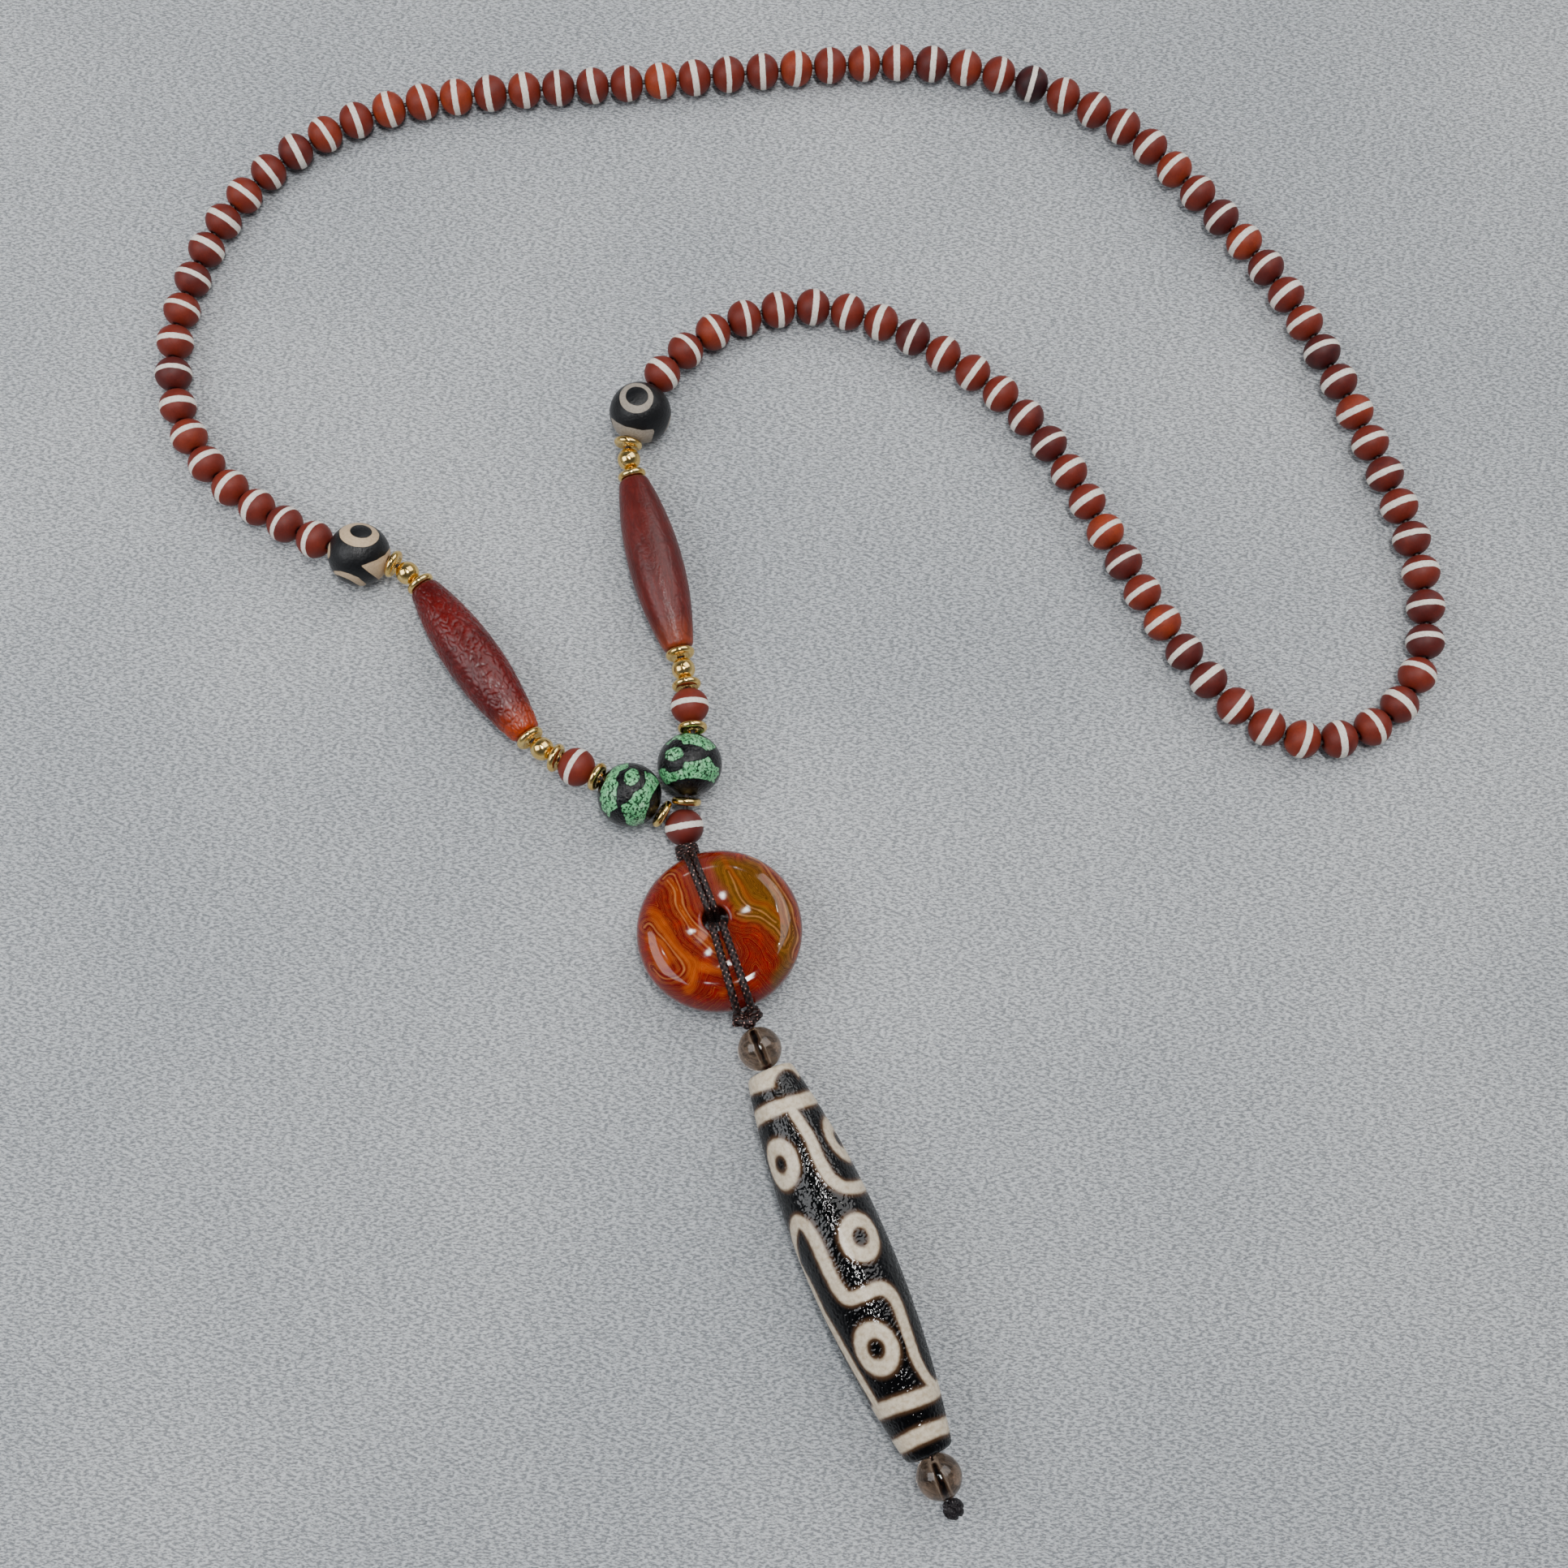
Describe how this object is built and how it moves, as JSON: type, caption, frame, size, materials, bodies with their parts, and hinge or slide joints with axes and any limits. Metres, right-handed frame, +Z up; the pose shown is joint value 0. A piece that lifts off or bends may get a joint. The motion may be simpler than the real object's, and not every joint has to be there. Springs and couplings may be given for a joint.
{
  "type": "bead necklace",
  "caption": "A long necklace of striped stone beads laid flat in a loop, with two short strands of large beads, a donut and a long eyed pendant bead",
  "frame": {"origin": "the middle of the bounding box on the resting surface, under the pieces", "axes": "+Z up from the table; +Y towards the neck loop, so that the pendant points roughly to -Y; +X to the right in the picture"},
  "size_m": [0.2084, 0.2382, 0.0131],
  "materials": {
    "striped_agate": "frosted stone with a white band",
    "thread": "dark braided thread",
    "cord": "dark brown braided cord",
    "banded_agate": "polished banded stone",
    "smoky_glass": "polished smoky glass",
    "dzi_agate": "polished black stone with cream lines",
    "green_agate": "polished green and black stone",
    "carnelian": "frosted red-brown stone",
    "black_agate": "matte black stone with pale eyes",
    "gold": "polished gold-coloured plating"
  },
  "bodies": {
    "root": {"bead_string": "striped_agate", "thread": "thread", "guru_bead": "striped_agate", "upper_knot": "cord", "upper_sling": "cord", "donut": "banded_agate", "lower_sling": "cord", "lower_knot": "cord", "upper_glass_bead": "smoky_glass", "dzi_bead": "dzi_agate", "lower_glass_bead": "smoky_glass", "pendant_cord": "thread", "end_knot": "thread", "left_green_bead": "green_agate", "left_stripe_bead": "striped_agate", "left_barrel_bead": "carnelian", "left_eye_bead": "black_agate", "right_green_bead": "green_agate", "right_stripe_bead": "striped_agate", "right_barrel_bead": "carnelian", "right_eye_bead": "black_agate", "left_disc_1": "gold", "left_disc_2": "gold", "left_disc_3": "gold", "left_disc_4": "gold", "left_disc_5": "gold", "left_disc_6": "gold", "right_disc_1": "gold", "right_disc_2": "gold", "right_disc_3": "gold", "right_disc_4": "gold", "right_disc_5": "gold", "right_disc_6": "gold", "left_ball_1": "gold", "left_ball_2": "gold", "right_ball_1": "gold", "right_ball_2": "gold"}
  },
  "joints": []
}
